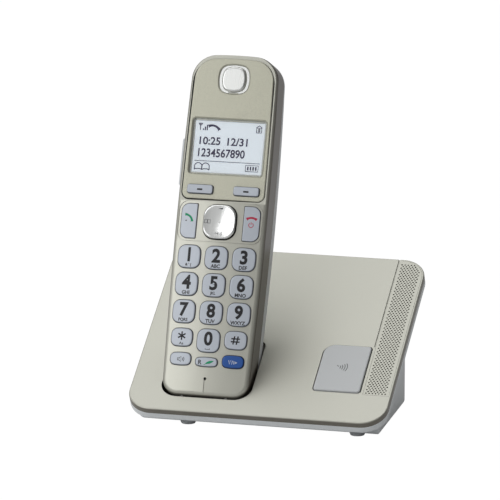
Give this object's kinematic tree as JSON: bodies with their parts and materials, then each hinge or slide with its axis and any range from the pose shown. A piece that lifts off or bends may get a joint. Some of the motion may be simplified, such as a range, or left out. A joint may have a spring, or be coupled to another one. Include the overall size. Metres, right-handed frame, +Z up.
{
  "type": "cordless landline phone",
  "caption": "Landline phone handset with a display and keypad, standing in a sloping charging base with a locator button and a speaker grille.",
  "frame": {"origin": "on the floor under the middle of the whole object's box", "axes": "+X to the user's right, +Y away from the user, +Z up"},
  "size_m": [0.131, 0.1064, 0.1748],
  "materials": {
    "pearl_champagne": "pearl metallic paint",
    "fascia_champagne": "satin metallic paint",
    "white_housing": "fine texture",
    "cradle_grey": "fine texture",
    "satin_metal": "metallised plastic",
    "black_plastic": "moulded",
    "circuit_green": "solder mask",
    "rubber_grey": "soft",
    "steel": "zinc plated",
    "contact_metal": "plated",
    "display_glass": "clear",
    "display_white": "backlit",
    "cell_wrap": "wrap",
    "key_grey": "satin",
    "key_blue": "satin"
  },
  "bodies": {
    "base": {"base_circuit_board": "circuit_green", "base_housing": "white_housing", "base_screws": "steel", "base_sounder": "steel", "base_top_cover": "pearl_champagne", "cradle_cup": "cradle_grey", "dc_inlet_jack": "black_plastic", "line_jack": "black_plastic", "locator_switch": "black_plastic", "rubber_feet": "rubber_grey", "speaker_grille": "pearl_champagne"},
    "handset": {"battery_cells": "cell_wrap", "battery_terminals": "contact_metal", "display_fascia": "fascia_champagne", "display_window": "display_glass", "earpiece_cover": "satin_metal", "earpiece_receiver": "steel", "handset_charge_contacts": "contact_metal", "handset_circuit_board": "circuit_green", "handset_front_cover": "pearl_champagne", "handset_rear_cover": "white_housing", "handset_screws": "steel", "keypad_membrane": "rubber_grey", "lcd_module": "display_white", "microphone": "black_plastic", "ringer_loudspeaker": "steel", "volume_switch": "black_plastic"},
    "locator_button": {"locator_button": "white_housing"},
    "charge_contact_left": {"charge_contact_left": "contact_metal"},
    "charge_contact_right": {"charge_contact_right": "contact_metal"},
    "battery_door": {"battery_door": "white_housing"},
    "volume_rocker": {"volume_rocker": "white_housing"},
    "navigator_carrier": {"navigator_carrier": "black_plastic"},
    "navigator_pad": {"navigator_pad": "satin_metal"},
    "key_1": {"key_1": "key_grey"},
    "key_2": {"key_2": "key_grey"},
    "key_3": {"key_3": "key_grey"},
    "key_4": {"key_4": "key_grey"},
    "key_5": {"key_5": "key_grey"},
    "key_6": {"key_6": "key_grey"},
    "key_7": {"key_7": "key_grey"},
    "key_8": {"key_8": "key_grey"},
    "key_9": {"key_9": "key_grey"},
    "key_star": {"key_star": "key_grey"},
    "key_hash": {"key_hash": "key_grey"},
    "key_0": {"key_0": "key_grey"},
    "speaker_key": {"speaker_key": "key_grey"},
    "recall_key": {"recall_key": "key_grey"},
    "talk_key": {"talk_key": "key_grey"},
    "off_key": {"off_key": "key_grey"},
    "soft_key_left": {"soft_key_left": "key_grey"},
    "soft_key_right": {"soft_key_right": "key_grey"},
    "noise_key": {"noise_key": "key_blue"}
  },
  "joints": [
    {"name": "handset_lift", "type": "slide", "parent": "base", "child": "handset", "axis": [0, 0.3891, 0.9212], "range_m": [0, 0.1]},
    {"name": "locator_press", "type": "slide", "parent": "base", "child": "locator_button", "axis": [0, 0.4772, -0.8788], "range_m": [0, 0.0008], "stiffness_N_per_m": 700},
    {"name": "battery_door_slide", "type": "slide", "parent": "handset", "child": "battery_door", "axis": [0, -0.3891, -0.9212], "range_m": [0, 0.003]},
    {"name": "navigator_up_down", "type": "hinge", "parent": "handset", "child": "navigator_carrier", "pos_m": [-0.0272, -0.0076, 0.09633], "axis": [1, 0, 0], "range_deg": [-2.5, 2.5], "stiffness_Nm_per_rad": 0.4},
    {"name": "navigator_left_right", "type": "hinge", "parent": "navigator_carrier", "child": "navigator_pad", "pos_m": [-0.0272, -0.0076, 0.09633], "axis": [0, 0.3891, 0.9212], "range_deg": [-2.5, 2.5], "stiffness_Nm_per_rad": 0.4},
    {"name": "volume_rock", "type": "hinge", "parent": "handset", "child": "volume_rocker", "pos_m": [-0.0493, 0.00876, 0.12221], "axis": [0, -0.9212, 0.3891], "range_deg": [-2, 2], "stiffness_Nm_per_rad": 0.3},
    {"name": "charge_contact_left_press", "type": "slide", "parent": "base", "child": "charge_contact_left", "axis": [0, -0.3891, -0.9212], "range_m": [0, 0.001], "stiffness_N_per_m": 250},
    {"name": "charge_contact_right_press", "type": "slide", "parent": "base", "child": "charge_contact_right", "axis": [0, -0.3891, -0.9212], "range_m": [0, 0.001], "stiffness_N_per_m": 250},
    {"name": "key_1_press", "type": "slide", "parent": "handset", "child": "key_1", "axis": [0, 0.9212, -0.3891], "range_m": [0, 0.0007], "stiffness_N_per_m": 900},
    {"name": "key_2_press", "type": "slide", "parent": "handset", "child": "key_2", "axis": [0, 0.9212, -0.3891], "range_m": [0, 0.0007], "stiffness_N_per_m": 900},
    {"name": "key_3_press", "type": "slide", "parent": "handset", "child": "key_3", "axis": [0, 0.9212, -0.3891], "range_m": [0, 0.0007], "stiffness_N_per_m": 900},
    {"name": "key_4_press", "type": "slide", "parent": "handset", "child": "key_4", "axis": [0, 0.9212, -0.3891], "range_m": [0, 0.0007], "stiffness_N_per_m": 900},
    {"name": "key_5_press", "type": "slide", "parent": "handset", "child": "key_5", "axis": [0, 0.9212, -0.3891], "range_m": [0, 0.0007], "stiffness_N_per_m": 900},
    {"name": "key_6_press", "type": "slide", "parent": "handset", "child": "key_6", "axis": [0, 0.9212, -0.3891], "range_m": [0, 0.0007], "stiffness_N_per_m": 900},
    {"name": "key_7_press", "type": "slide", "parent": "handset", "child": "key_7", "axis": [0, 0.9212, -0.3891], "range_m": [0, 0.0007], "stiffness_N_per_m": 900},
    {"name": "key_8_press", "type": "slide", "parent": "handset", "child": "key_8", "axis": [0, 0.9212, -0.3891], "range_m": [0, 0.0007], "stiffness_N_per_m": 900},
    {"name": "key_9_press", "type": "slide", "parent": "handset", "child": "key_9", "axis": [0, 0.9212, -0.3891], "range_m": [0, 0.0007], "stiffness_N_per_m": 900},
    {"name": "key_star_press", "type": "slide", "parent": "handset", "child": "key_star", "axis": [0, 0.9212, -0.3891], "range_m": [0, 0.0007], "stiffness_N_per_m": 900},
    {"name": "key_hash_press", "type": "slide", "parent": "handset", "child": "key_hash", "axis": [0, 0.9212, -0.3891], "range_m": [0, 0.0007], "stiffness_N_per_m": 900},
    {"name": "key_0_press", "type": "slide", "parent": "handset", "child": "key_0", "axis": [0, 0.9212, -0.3891], "range_m": [0, 0.0007], "stiffness_N_per_m": 900},
    {"name": "speaker_key_press", "type": "slide", "parent": "handset", "child": "speaker_key", "axis": [0, 0.9212, -0.3891], "range_m": [0, 0.0007], "stiffness_N_per_m": 900},
    {"name": "recall_key_press", "type": "slide", "parent": "handset", "child": "recall_key", "axis": [0, 0.9212, -0.3891], "range_m": [0, 0.0007], "stiffness_N_per_m": 900},
    {"name": "talk_key_press", "type": "slide", "parent": "handset", "child": "talk_key", "axis": [0, 0.9212, -0.3891], "range_m": [0, 0.0007], "stiffness_N_per_m": 900},
    {"name": "off_key_press", "type": "slide", "parent": "handset", "child": "off_key", "axis": [0, 0.9212, -0.3891], "range_m": [0, 0.0007], "stiffness_N_per_m": 900},
    {"name": "soft_key_left_press", "type": "slide", "parent": "handset", "child": "soft_key_left", "axis": [0, 0.9212, -0.3891], "range_m": [0, 0.0007], "stiffness_N_per_m": 900},
    {"name": "soft_key_right_press", "type": "slide", "parent": "handset", "child": "soft_key_right", "axis": [0, 0.9212, -0.3891], "range_m": [0, 0.0007], "stiffness_N_per_m": 900},
    {"name": "noise_key_press", "type": "slide", "parent": "handset", "child": "noise_key", "axis": [0, 0.9212, -0.3891], "range_m": [0, 0.0007], "stiffness_N_per_m": 900}
  ]
}
